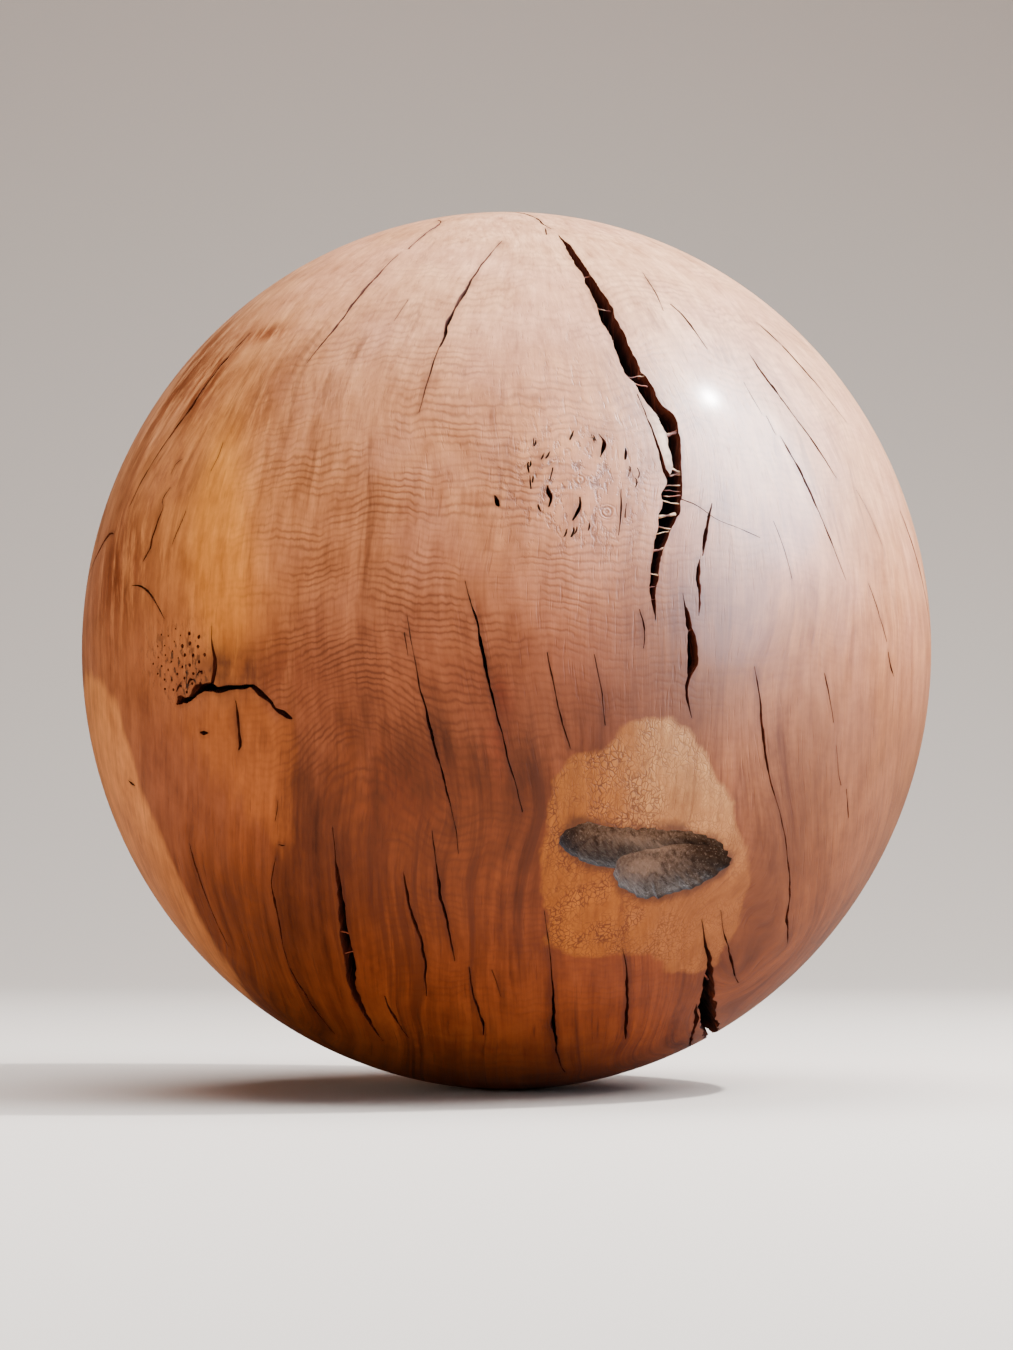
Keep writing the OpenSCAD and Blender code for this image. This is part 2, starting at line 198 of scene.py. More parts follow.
cracks["lower"] = [
    [(-51.8, -26.5, 0.3), (-52.6, -29, 1.01), (-53.8, -33, 0.72), (-57.5, -42)],
    [(-34.8, -28.5, 0.3), (-37.5, -32.5, 0.72), (-38.8, -36.5, 1.15), (-43, -44.5, 0.48),
     (-45.6, -51.4, 1.15), (-50.4, -59.5, 0.36)],
    [(-24.2, -24.5, 0.36), (-25, -30, 1.01), (-25.4, -33, 2.24), (-26.2, -36, 3.61), (-27.2, -39.5, 5.2),
     (-28.3, -43, 5.6), (-29.8, -46.5, 5), (-31.3, -50, 3.61), (-32.6, -53.5, 2.75), (-33.6, -57, 1.44),
     (-35, -61, 0.48)],
    [(-25, -50.5, 0.3), (-25.7, -53.5, 1.15), (-26, -60, 0.3)],
    [(-14.9, -30.5, 0.3), (-14.9, -34, 1.15), (-14.2, -40, 1.15), (-14.4, -44.5, 1.3), (-16, -50.5, 0.3)],
    [(-10, -25), (-9.8, -33, 1.3), (-9.4, -37, 1.3), (-8.9, -44, 0.3)],
    [(-6.6, -45), (-6.3, -51.5, 1.01), (-5.4, -55.5, 1.15), (-5.6, -59, 0.48)],
    [(-2.6, -45.5), (-1.8, -48, 0.36), (-1, -50.5)],
    [(5.8, -36), (7.5, -43, 0.48), (9.6, -51.5, 1.01), (10.4, -55, 1.58), (11.6, -58, 2.24),
     (13, -60.5, 1.44), (15, -64, 1.01), (19, -68, 0.72), (25, -71.5, 0.3)],
    [(20, -42, 0.3), (22.4, -46, 0.79), (24.6, -50, 1.3), (28.6, -56, 1.44), (33, -60.5, 0.3)],
    [(35.5, -36), (38.5, -39.6, 0.54), (43, -43.2, 1.15), (48, -46.6, 0.72), (52, -48.4, 0.3)],
    [(44.5, -52.5, 0.3), (47, -54.2, 1.44), (51, -56.4, 2.24), (59.5, -60.4, 1.73), (72, -63.4, 1.44),
     (84, -64, 1.01), (97, -63.6, 0.3)],
    [(32.6, -37.4, 0.3), (36.4, -42, 1.15), (37.8, -43.2, 1.73), (39.6, -45, 2.58), (41.5, -47.2, 5),
     (44, -49.4, 7), (47.5, -52, 8), (52, -54.6, 8.4), (58, -57, 8.6), (65, -58.8, 8.6), (73, -60.2, 8),
     (82, -61, 6.6), (92, -61.2, 3.78), (108, -60, 0.36)],
]

cracks["bark"] = [
    [(-47, -8.8, 0.8), (-46, -8.3, 4.4), (-45, -8.3, 3.2), (-44, -7.9, 3), (-42.8, -7.2, 4.4),
     (-41.6, -7, 4.2), (-40.2, -6.8, 5.2), (-39.2, -7.2, 3), (-37.6, -7.1, 2.4), (-34.8, -7, 1.6),
     (-33.6, -6.9, 2.2), (-32.6, -7.5, 2.8), (-31, -8.7, 2.2), (-30.2, -9.7, 2), (-28.5, -10.7, 2.2),
     (-27.8, -11, 0.5)],
    [(-36.3, -8.6, 0.48), (-36.2, -10.5, 1.15), (-36.4, -13.5, 1.44), (-36.8, -14.6, 0.3)],
    [(-57.2, 6.4), (-55, 6.2, 0.72), (-53, 5.5, 0.72), (-51.3, 4.2, 0.72), (-48.8, 1.8)],
    [(-52, 18.6, 0.3), (-53.2, 17, 0.86), (-52.6, 15.8, 0.86), (-53.5, 12.5, 0.86), (-53.6, 10.9, 1.44),
     (-54.4, 10, 1.58), (-55, 9.2, 0.48)],
    [(-51.3, 22.4), (-52.5, 21.8, 0.54), (-52.9, 20.5)], [(-43, 24), (-43.2, 22, 0.42), (-43.8, 20.2)],
    [(-47, 15.2), (-47.3, 14.3, 0.48), (-48.6, 11)],
    [(-66.6, 13.6, 0.36), (-68.5, 13.8, 1.44), (-70.5, 13.2, 1.44), (-76, 10.6, 0.72), (-80, 9)],
    [(-63.6, -17.9), (-62.6, -18.2, 1.15), (-61.8, -18.6, 0.3)],
    [(-43.2, -12.2, 0.72), (-42.5, -12.4, 2.58), (-41.6, -12.4, 0.72)],
    [(-33.6, -26.7, 0.3), (-33.1, -26.9, 1.01), (-32.6, -26.8, 0.3)],
    [(-31.9, -21), (-32.3, -22.2, 0.48), (-33.1, -23.6)],
    [(-46.8, -7.2, 0.4), (-46.3, -6.5, 1.2), (-45.8, -6.1, 0.4)],
    [(-44.4, -6.4, 0.4), (-43.9, -5.8, 1.5), (-43.2, -5.9, 0.4)],
    [(-42.6, -5.4, 0.4), (-42.1, -4.9, 1.2), (-41.7, -5.1, 0.4)],
]

cracks["barkSpur"] = [
    [(-39.8, 0.5, 0.3), (-39.7, -1.5, 0.86), (-39.3, -3.5, 1.3), (-39.6, -5.5, 2.24), (-39.9, -6.4, 2.24)],
]

cracks["burr"] = [
    [(9.1, 24, 0.5), (8.8, 23.3, 1.4), (8.5, 22.7, 0.5)],
    [(11.6, 23.7, 0.4), (11.8, 22.9, 0.6), (11.8, 22.4, 0.4)],
    [(12.5, 23.6, 0.5), (13.1, 22.6, 1.4), (12.9, 21.6, 1.6), (12.4, 20.5, 0.5)],
    [(3.7, 22.9, 0.4), (3.6, 22.3, 0.6), (3.6, 21.9, 0.4)],
    [(5.7, 21.1, 0.5), (5.4, 20.6, 1.2), (5.1, 20.2, 0.5)],
    [(16, 21.8, 0.5), (15.9, 20.9, 1), (15.7, 20.2, 0.5)],
    [(16.3, 19.4, 0.4), (16.1, 18.6, 0.6), (15.9, 18, 0.4)],
    [(2.9, 19.7, 0.5), (2.8, 19, 1), (2.9, 18.3, 0.5)],
    [(3.1, 18, 0.4), (3.1, 17.1, 0.6), (3.1, 16.2, 0.4)], [(6, 19, 0.5), (5.8, 18, 1.1), (5.6, 17.2, 0.5)],
    [(5.3, 16.7, 0.6), (5.3, 15.8, 2), (5.5, 15, 1.4), (5.3, 14, 0.5)],
    [(9.4, 15.3, 0.5), (9.3, 14.2, 1.2), (9, 13.6, 2.2), (8.3, 12.3, 0.5)],
    [(8.4, 11.5, 0.5), (8.2, 10.9, 1.1), (8, 10.3, 0.5)],
    [(14.8, 16.4, 0.4), (14.7, 15, 0.5), (14.5, 13, 0.5), (14.1, 10.6, 0.4)],
    [(-1.5, 15.4, 1), (-1.2, 14.6, 3), (-0.9, 14, 1)],
    [(3.9, 22.6, 0.4), (3.8, 22.2, 0.9), (3.6, 21.8, 0.4)],
    [(3.2, 19.9, 0.4), (3.1, 19.4, 1), (3, 19, 0.4)], [(3.4, 17.9, 0.4), (3.3, 17.4, 0.9), (3.3, 17, 0.4)],
    [(4, 14.3, 0.4), (4.1, 13.8, 0.9), (4.3, 13.4, 0.4)],
    [(5, 20.9, 0.4), (4.8, 20.4, 0.9), (4.6, 20, 0.4)],
    [(11.6, 23.6, 0.4), (11.8, 23.1, 1.1), (12.1, 22.6, 0.4)],
    [(16.3, 19.3, 0.4), (16.2, 18.8, 0.9), (16, 18.2, 0.4)],
    [(17.3, 19.2, 0.4), (17.5, 18.5, 0.8), (17.2, 17.8, 0.4)],
    [(16.9, 17.9, 0.4), (17, 17.3, 0.8), (16.7, 16.6, 0.4)],
    [(7.6, 11.3, 0.4), (7.4, 10.8, 1), (7.1, 10.3, 0.4)],
    [(8.8, 11.6, 0.4), (8.7, 11.1, 0.9), (8.5, 10.6, 0.4)],
    [(10.4, 12.1, 0.4), (10.4, 11.6, 0.9), (10.2, 11.1, 0.4)],
    [(15.4, 14.6, 0.4), (15.2, 13.6, 0.8), (15.1, 12.8, 0.4)],
]

crackShape = {
    "reach": 7,              # depth for each millimetre that a crack is open
    "limit": 60,             # depth that no crack goes past, mm
    "narrowest": 0.25,       # mm
    "belly": (0.45, 0.6),    # its sides bend in at this share of its depth, to this share of its width
    "lift": 3,               # how far its cutter stands off the ball, mm
    "step": 1.6,             # distance between two sections, mm
    "tear": 0.085,           # raggedness of an edge, as a share of the open width
    "thin": 5,               # a crack narrower than this is more ragged, mm
    "thinTear": 0.22,        # by this share of its width
    "wander": 0.35,          # how far a crack strays from its line, mm
}

backChecks = {
    "count": 18,             # fine checks round the back
    "turns": (98, 164),      # first turn, and how far round they go
    "rise": 56,              # they lie up to this far from the widest circle
    "half": (6, 11),         # shortest half length, and how much longer it gets, degrees
    "slant": 3,
    "wide": (0.6, 1.8),      # narrowest, and how much wider it gets, mm
}


def backCracks():
    # each narrows to both of its ends
    rows = []
    for i in range(backChecks["count"]):
        turn = backChecks["turns"][0] + backChecks["turns"][1] * (i + 0.5) / backChecks["count"]
        rise = backChecks["rise"] * (2 * ((0.62 * i + 0.1) % 1) - 1)
        half = backChecks["half"][0] + backChecks["half"][1] * ((0.76 * i) % 1)
        slant = backChecks["slant"] * sin(radians(131 * i))
        wide = backChecks["wide"][0] + backChecks["wide"][1] * ((0.57 * i) % 1)
        rows.append([(turn + slant * t, rise + half * t, 0.4 + wide * (1 - t * t))
                     for t in (-1, -0.5, 0, 0.5, 1)])
    return rows


cracks["back"] = backCracks()


def smoothRow(rows, step, closed=False):
    # evenly spaced points on a smooth curve through rows, an array of points
    rows = np.asarray(rows, float)
    count = len(rows)
    out = []
    for i in range(count if closed else count - 1):
        near = [i + k for k in (-1, 0, 1, 2)]
        p = [rows[n % count if closed else min(max(n, 0), count - 1)] for n in near]
        pieces = max(1, ceil(norm((p[2] - p[1])[:3]) / step))
        for k in range(pieces):
            t = k / pieces
            out.append(0.5 * (2 * p[1] + (p[2] - p[0]) * t
                              + (2 * p[0] - 5 * p[1] + 4 * p[2] - p[3]) * t * t
                              + (3 * p[1] - p[0] - 3 * p[2] + p[3]) * t ** 3))
    if not closed:
        out.append(rows[-1])
    return np.array(out)


def crackLine(path):
    # unit directions and open widths in metres along a crack
    narrowest = crackShape["narrowest"]
    rows = []
    for turn, rise, wide in [(*point, narrowest)[:3] for point in path]:
        rows.append([*(direction(turn, rise) * halfWide), wide * mm])
    line = smoothRow(rows, crackShape["step"] * mm)
    units = line[:, :3] / norm(line[:, :3], axis=1)[:, None]
    return units, np.maximum(line[:, 3], narrowest * mm)


def ragged(index, seed, size):
    # soft noise along a crack, from -1 to 1; size is the number of sections to a bump
    return bumpy(index / size, seed * 7.31, 0.5) * 1.6


def wedge(path, seed, start):
    # the cutter of one crack: points and faces of a closed wedge
    units, wide = crackLine(path)
    last = len(units) - 1
    lift = crackShape["lift"] * mm
    bellyDepth, bellyWide = crackShape["belly"]
    points = []
    for i, unit in enumerate(units):
        ahead = onBall(units[min(i + 1, last)]) - onBall(units[max(i - 1, 0)])
        left = np.cross(ahead, unit)
        left /= norm(left)
        depth = min(crackShape["limit"], 1 + crackShape["reach"] * wide[i] / mm) * mm
        fade = min(1, wide[i] / mm)
        stray = crackShape["wander"] * mm * fade * ragged(i, seed, 6)
        thin = max(0, 1 - wide[i] / (crackShape["thin"] * mm))
        tear = (crackShape["tear"] + crackShape["thinTear"] * thin) * wide[i] + 0.1 * mm * fade
        halves = []
        for side, bump, fineBump in ((40, 4.3, 1.4), (80, 3.7, 1.3)):
            edge = ragged(i, seed + side, bump) + 0.45 * ragged(i, seed + side + 1, fineBump)
            halves.append(max(wide[i] / 2 + tear * edge, 0.1 * mm))
        flare = 1 + lift / depth
        for out, aside in ((lift, halves[0] * flare), (lift, -halves[1] * flare),
                           (-bellyDepth * depth, -halves[1] * bellyWide), (-depth, -stray * 0.5),
                           (-bellyDepth * depth, halves[0] * bellyWide)):
            points.append(onBall(unit, out) + left * (stray + aside))
    return points, tubeFaces(start, 5, last + 1)


def wedges(name, paths, seed):
    points, faces = [], []
    for k, path in enumerate(paths):
        newPoints, newFaces = wedge(path, seed + 3 * k, len(points))
        points += newPoints
        faces += newFaces
    return meshPiece(name, points, faces)


# the hollow of the dead branch
hollow = {
    "upperDepth": 17,
    "lowerDepth": 13,
    "upperRim": [(7.3, -26), (8.6, -24.7), (11, -23.9), (14, -24.5), (20, -24.7), (26, -25.1),
                 (30.5, -26.2), (32.2, -27.8), (27, -29), (21, -30), (15.5, -30), (11, -29.1),
                 (8.2, -27.6)],
    "lowerRim": [(16.2, -29.2), (21, -27.6), (27, -27), (31.5, -27.4), (33.9, -28.6), (33, -30.2),
                 (30, -32.2), (25, -33.7), (21.5, -34.2), (18, -33.1), (15.8, -31.2)],
    # how far the rim has closed in, and how deep it is there as a share of the full depth
    "profile": [(-0.12, -0.5), (0, 0), (0.04, 0.3), (0.09, 0.5), (0.16, 0.66), (0.25, 0.8), (0.36, 0.9),
                (0.48, 0.96), (0.6, 1), (0.72, 1), (0.84, 1), (0.94, 1)],
    "step": 1.5,         # distance between points of the rim, mm
    "chip": 2.2,         # raggedness of the rim, mm
    "fibre": 0.35,       # relief of the fibres on its floor, mm
    "lump": 0.8,         # and of the lumps under them, mm
}


def dish(name, rim, depth, seed):
    rows = smoothRow([direction(turn, rise) * halfWide for turn, rise in rim], hollow["step"] * mm, True)
    rimUnits = rows / norm(rows, axis=1)[:, None]
    middle = rimUnits.mean(0)
    for k, unit in enumerate(rimUnits):
        chip = hollow["chip"] * mm * bumpy(k / 2.6, seed, 1)
        unit += (middle - unit) * (chip / norm(unit - middle)) / halfWide
    points = []
    for closing, share in hollow["profile"]:
        for unit in rimUnits:
            at = unit + (middle - unit) * closing
            at = at / norm(at)
            x, y, z = onBall(at) / mm
            rough = 0
            if share > 0:
                strand = Vector((x / 1.6, y / 9, z / 9 + seed))
                rough = hollow["fibre"] * (noise.noise(strand) + 0.6 * noise.noise(strand * 2.3))
                rough += hollow["lump"] * bumpy(x / 7, z / 4, seed + 9)
            points.append(onBall(at, (-share * depth + rough * min(1, 2 * share)) * mm))
    middle /= norm(middle)
    points += [onBall(middle, 0.5 * depth * mm + 2 * mm), onBall(middle, -depth * mm)]
    count = len(rimUnits)
    lid = len(points) - 2
    faces = ringFaces(0, count, len(hollow["profile"]))
    for k in range(count):
        after = (k + 1) % count
        faces.append((k, after, lid))
        faces.append((lid - count + after, lid - count + k, lid + 1))
    return meshPiece(name, points, faces)


# pin pits beside the ingrown bark
pits = {
    "count": 40,
    "at": (-46, -3.6),
    "half": (5.6, 4.4),
    "wide": 1.5,         # mm
    "depth": 2.5,        # mm
    "lift": 1,           # how far their cutters stand off the ball, mm
    "goldenTurn": 137.5,
    "sides": 8,
}


def pitCutter():
    points, faces = [], []
    sides = pits["sides"]
    for i in range(pits["count"]):
        spread = sqrt((i + 0.5) / pits["count"])
        angle = radians(i * pits["goldenTurn"])
        unit = direction(pits["at"][0] + pits["half"][0] * spread * sin(angle),
                         pits["at"][1] + pits["half"][1] * spread * cos(angle))
        wide = pits["wide"] * (0.6 + 0.9 * ((0.62 * i) % 1)) * mm
        level, upright = alongSurface(unit)
        faces += tubeFaces(len(points), sides, 2)
        for out, half in ((pits["lift"], wide * 0.55), (-pits["depth"], wide * 0.25)):
            for k in range(sides):
                a = 2 * pi * k / sides
                bump = 1 + 0.35 * bumpy(i * 3.7, k * 0.9, 2)
                away = (level * cos(a) + upright * sin(a)) * half * bump
                points.append(onBall(unit, out * mm) + away)
    return meshPiece("pitCutter", points, faces)


ballShape = {
    "subdivisions": 7,
    "sharp": 32,         # an edge that turns by more than this many degrees stays sharp
}


def cut(piece, cutter):
    faceOutwards(cutter, triangles=True)
    selectOnly(piece)
    bpy.ops.object.modifier_add(type="BOOLEAN")
    boolean = piece.modifiers[-1]
    boolean.operation = "DIFFERENCE"
    boolean.solver = "MANIFOLD"
    boolean.object = cutter
    before = len(piece.data.polygons)
    bpy.ops.object.modifier_apply(modifier=boolean.name)
    print("  cut", cutter.name, before, "->", len(piece.data.polygons), "faces")
    bpy.data.objects.remove(cutter)


def makeBall():
    bpy.ops.object.select_all(action="DESELECT")
    bpy.ops.mesh.primitive_ico_sphere_add(subdivisions=ballShape["subdivisions"], radius=1)
    piece = bpy.context.active_object
    piece.name = "oakBall"
    piece.scale = (halfWide, halfWide, halfTall)
    bpy.ops.object.transform_apply(location=False, rotation=False, scale=True)
    for k, (group, paths) in enumerate(cracks.items()):
        cut(piece, wedges(group + "Cutter", paths, 1 + 100 * k))
    for part, seed in (("upper", 3), ("lower", 8)):
        cut(piece, dish(part + "Hollow", hollow[part + "Rim"], hollow[part + "Depth"], seed))
    cut(piece, pitCutter())
    return piece


# outlines and lines that the wood's colour follows, in degrees
outlines = {
    "knotPatch": [(18.9, -11), (21.6, -11.5), (24.9, -13.4), (27.9, -17), (30.6, -20), (33.3, -24.2),
                  (36.3, -27.8), (38.7, -32), (40.2, -36.2), (40.8, -44.6), (37.5, -47), (33, -46),
                  (27, -43.7), (21, -42.8), (15.6, -43.4), (10.5, -42.8), (6.9, -41), (6, -36.5),
                  (5.4, -32), (5.1, -26), (5.4, -21.8), (6.3, -18.2), (8.7, -15.5), (12, -14.9),
                  (14.4, -13.1), (16.8, -11.3)],
    "knotFigure": [(-47, -9), (-42, -8), (-34, -8), (-28, -11), (-28.3, -15), (-30, -20),
                   (-31, -26), (-34, -28), (-36, -25.5), (-38.5, -21), (-42, -17.5), (-46, -15),
                   (-49, -12)],
    "sapwood": [(-60, -15), (-62, -8), (-67, -4.8), (-76, -3.6), (-100, -8), (-122, -24),
                (-118, -52), (-76, -54), (-65, -47), (-62, -41), (-59.5, -34.6), (-59, -26)],
    # lower edge of the lighter wood: rise by turn
    "darkEdge": [(-180, -42), (-110, -36), (-80, -32), (-62, -27), (-52, -24), (-44, -24), (-36, -21),
                 (-29, -13), (-18, -11), (-8, -10), (0, -12), (5, -12), (12, -12), (22, -14),
                 (32, -15), (40, -21), (48, -28), (58, -35), (80, -42), (110, -44), (180, -42)],
}

# soft ovals of a tone: strength, turn and rise of the middle, half width and half height
ovals = {
    "gold": [(0.5, -48, 10, 20, 32)],
    "goldColumn": [(0.9, -38, 8, 5.5, 20)],
    "swirl": [(1, -57, 26, 11, 20), (0.25, -58, -2, 10, 8)],
    "amber": [(1, -66, 36, 9, 14), (1, -62, 8, 12, 9), (1, -45.5, 41.3, 6, 1.6), (1, -54, 34, 4, 7),
              (0.8, -30, -6, 9, 6), (0.6, -38, 30, 5, 8)],
    "rings": [(1, -12, 8, 30, 34), (0.5, 40, 50, 30, 20)],
    "ringArch": [(0.6, -20, -11, 12, 9)],
    "dome": [(1, -20, -14, 8.5, 12)],
    "rust": [(1, -3.4, -8, 2.6, 2.4), (0.8, -1, -12, 1.8, 5.5), (0.3, -14, -20, 7, 6)],
    "stain": [(1.2, -37, -4.8, 6, 2.8), (0.35, -9, -13, 3, 5), (0.5, 14, -10, 16, 6),
              (0.7, -46, -36, 13, 10), (0.45, 44, -22, 7, 16), (0.3, 38, -47, 14, 9),
              (1, -36.5, -12, 0.8, 3), (0.4, -22, -31, 6, 7)],
    "burr": [(1, 9, 17, 8.5, 8)],
    "pitted": [(1.2, -46.5, -3.6, 6, 4)],
    "pittedEdge": [(0.8, -44, -6, 3.6, 1.6)],
    "bare": [(1, 21.6, 23, 1.1, 4.2)],
    "notDusk": [(0.85, -37, 3, 9, 13)],
    "moreDusk": [(0.5, -52, -19, 9, 10), (0.75, 26, 0, 11, 12)],
    # dim is painted shade at the two ends of the hollow; brightFloor and brightLedge are painted light on
    # the floor of its lower lobe and on the ledge between its lobes
    "dim": [(1, 8.6, -26.6, 3, 2), (1, 31.5, -28.8, 4.4, 2.8)],
    "brightFloor": [(0.9, 22, -32, 4.2, 1.5)],
    "brightLedge": [(0.7, 22, -28.8, 7, 0.8)],
}

grain = {
    "convergence": 0.3,  # how fast the grain gathers towards the crown
    "pull": 70,          # distance at which it no longer follows a crack, mm
    "reach": 14,         # how softly it takes up the crack's direction, mm
    "domeHeight": 32,    # how high the ring lines arch, mm
    "lean": 0.24,        # how far the golden column leans, degrees for each degree of rise
}


def blend(x, low, high):
    t = np.clip((x - low) / (high - low), 0, 1)
    return t * t * (3 - 2 * t)


def tone(name, turn, rise):
    # sum of a tone's ovals at each place
    total = 0
    for strength, atTurn, atRise, halfTurn, halfRise in ovals[name]:
        aside = ((turn - atTurn + 180) % 360 - 180) / halfTurn
        above = (rise - atRise) / halfRise
        total = total + strength * np.exp(-(aside ** 2 + above ** 2))
    return total


def outlineDistance(units, outline):
    # signed distance in metres to a closed outline, less than nothing inside it
    corners = np.array([direction(turn, rise) for turn, rise in outline])
    middle = corners.mean(0)
    middle /= norm(middle)
    level, upright = alongSurface(middle)

    def layFlat(u):
        angle = np.arccos(np.clip(u @ middle, -1, 1))
        side = np.stack([u @ level, u @ upright], -1)
        return side * (angle / np.maximum(np.sin(angle), 1e-6))[:, None] * halfWide

    places, corners = layFlat(units), layFlat(corners)
    best = np.full(len(places), 1e9)
    inside = np.zeros(len(places), bool)
    for a, b in zip(np.roll(corners, 1, axis=0), corners):
        t = np.clip(((places - a) @ (b - a)) / ((b - a) @ (b - a)), 0, 1)
        best = np.minimum(best, norm(places - a - t[:, None] * (b - a), axis=1))
        crosses = (a[1] > places[:, 1]) != (b[1] > places[:, 1])
        with np.errstate(divide="ignore", invalid="ignore"):
            at = a[0] + (places[:, 1] - a[1]) / (b[1] - a[1]) * (b[0] - a[0])
        inside ^= crosses & (places[:, 0] < at)
    return np.where(inside, -best, best)


def crackDistance(surface):
    # from each place to the nearest edge of a crack, nothing inside one
    rows = []
    for paths in cracks.values():
        for path in paths:
            units, wide = crackLine(path)
            rows += [(onBall(u), w / 2) for u, w in zip(units, wide)]
    finder = kdtree.KDTree(len(rows))
    for k, row in enumerate(rows):
        finder.insert(row[0], k)
    finder.balance()
    return np.array([max(0, min(away - rows[k][1] for _, k, away in finder.find_n(place, 4)))
                     for place in surface])


def grainTurn(turn, rise):
    # the grain runs in upright planes below the widest circle, and along the turned circles above it
    r = np.radians(np.minimum(rise, 0))
    straight = np.degrees(np.arcsin(np.cos(r) * np.sin(np.radians(turn))))
    return turn + (straight - turn) * (1 - blend(np.abs(turn), 60, 100))


def grainShift(surface):
    # how far the grain moves over beside the long splits, so that it runs along them
    weights = np.full(len(surface), grain["pull"] ** -3.0)
    moved = np.zeros(len(surface))
    for group in ("main", "upper", "middle", "lower"):
        for path in cracks[group]:
            units, _ = crackLine(path)
            if len(units) < 12 or units[:, 2].max() > 0.97:
                continue
            turn = np.degrees(np.arctan2(units[:, 0], -units[:, 1]))
            base = grainTurn(turn, np.degrees(np.arcsin(units[:, 2])))
            for k in range(3, len(units), 7):
                away = norm(surface - onBall(units[k]), axis=1) / mm
                weight = (away ** 2 + grain["reach"] ** 2) ** -1.5
                weights += weight
                moved += weight * (base.mean() - base[k])
    return moved / weights


def duskField(turn, rise):
    # the brownish wood under the widest circle, on the left and then on the right
    dusk = blend(rise, 13, -9) * (1 - blend(turn, 18, 36)) * (1 - 0.45 * blend(-turn, 30, 62))
    dusk *= (1 - blend(np.abs(turn), 90, 130)) * (1 - tone("notDusk", turn, rise))
    dusk += 0.9 * blend(rise, 14, -18) * blend(turn, 24, 46) * (1 - blend(turn, 80, 120))
    return dusk + tone("moreDusk", turn, rise)


def ringField(turn, rise, lean):
    # strength of the ring lines
    rings = np.clip(tone("rings", turn, rise), 0, 1)
    rings = (0.12 + 0.88 * rings) * (1 - 0.85 * blend(-lean, 31, 38))
    below = 0.2 * blend(-rise, 10, 30) * (1 - blend(np.abs(turn), 20, 50))
    return rings + (tone("ringArch", turn, rise) + below)


def fields(piece):
    # stores what the materials read at every point of the ball
    points = np.empty(len(piece.data.vertices) * 3)
    piece.data.vertices.foreach_get("co", points)
    points = points.reshape(-1, 3)
    onUnit = points / (halfWide, halfWide, halfTall)
    reach = norm(onUnit, axis=1)
    units = onUnit / reach[:, None]
    depth = (1 - reach) * halfWide
    turn = np.degrees(np.arctan2(units[:, 0], -units[:, 1]))
    rise = np.degrees(np.arcsin(np.clip(units[:, 2], -1, 1)))
    lean = turn + grain["lean"] * (rise - 5)
    surface = onBall(units)

    flowTurn = np.radians(grainTurn(turn, rise) + grainShift(surface))
    gather = np.cos(np.radians(np.clip(rise, 0, 89))) ** grain["convergence"]
    flow = [halfWide * gather * np.sin(flowTurn), -halfWide * gather * np.cos(flowTurn), points[:, 2]]
    edgeTurn, edgeRise = np.array(outlines["darkEdge"], float).T
    dark = np.radians(rise - np.interp(turn, edgeTurn, edgeRise)) * halfWide
    dark /= 1 + 1.4 * blend(turn, 15, 55) * (1 - blend(turn, 110, 165))     # softer on the right
    figure = outlineDistance(units, outlines["knotFigure"]) / (1 + 3 * blend(-turn, 33, 46))
    rimAway = np.minimum(outlineDistance(units, hollow["upperRim"]),
                         outlineDistance(units, hollow["lowerRim"]))
    # paler wood on the right above the widest circle and towards the crown: partly the wood's own tone,
    # partly painted light where the key and overhead lights and the sheen fall
    pale = (blend(turn, 8, 45) * (1 - blend(np.abs(turn), 120, 170)) * blend(rise, -4, 34)
            + blend(rise, 25, 65) * (1 - 0.6 * blend(-turn, 0, 40)))
    gold = tone("gold", turn, rise) + tone("goldColumn", lean, rise)
    # painted shade and light in the hollow: above nothing it is shade at the ends and under the upper rim,
    # below nothing it is light on the lower floor and the ledge
    dim = (tone("dim", turn, rise) + 0.45 * blend(rise, -25.8, -24.2) - tone("brightFloor", turn, rise)
           - tone("brightLedge", turn, rise + 0.1 * (turn - 22)))
    made = {
        "flow": np.stack(flow, -1),
        "depth": depth,
        "patchAway": outlineDistance(units, outlines["knotPatch"]),
        "sapAway": outlineDistance(units, outlines["sapwood"]),
        "figureAway": figure,
        "darkAway": dark,
        "crackAway": crackDistance(surface),
        "rimAway": np.maximum(rimAway, 0),
        "pale": np.clip(pale, 0, 1),
        "gold": np.clip(gold, 0, 1),
        "dusk": np.clip(duskField(turn, rise), 0, 1),
        "dim": np.clip(dim, -1, 1),
        "rings": ringField(turn, rise, lean),
        "dome": grain["domeHeight"] * mm * tone("dome", turn, rise),
        "bare": tone("bare", turn - 0.11 * (23 - rise), rise),
        "pitted": np.clip(tone("pitted", turn, rise), 0, 1) + tone("pittedEdge", turn, rise),
    }
    for name in ("swirl", "amber", "rust", "stain", "burr"):
        made[name] = np.clip(tone(name, turn, rise), 0, 1)
    for name, values in made.items():
        kind, slot = ("FLOAT", "value") if values.ndim == 1 else ("FLOAT_VECTOR", "vector")
        attribute = piece.data.attributes.new(name, kind, "POINT")
        attribute.data.foreach_set(slot, values.astype(np.float32).ravel())
    return depth, rimAway


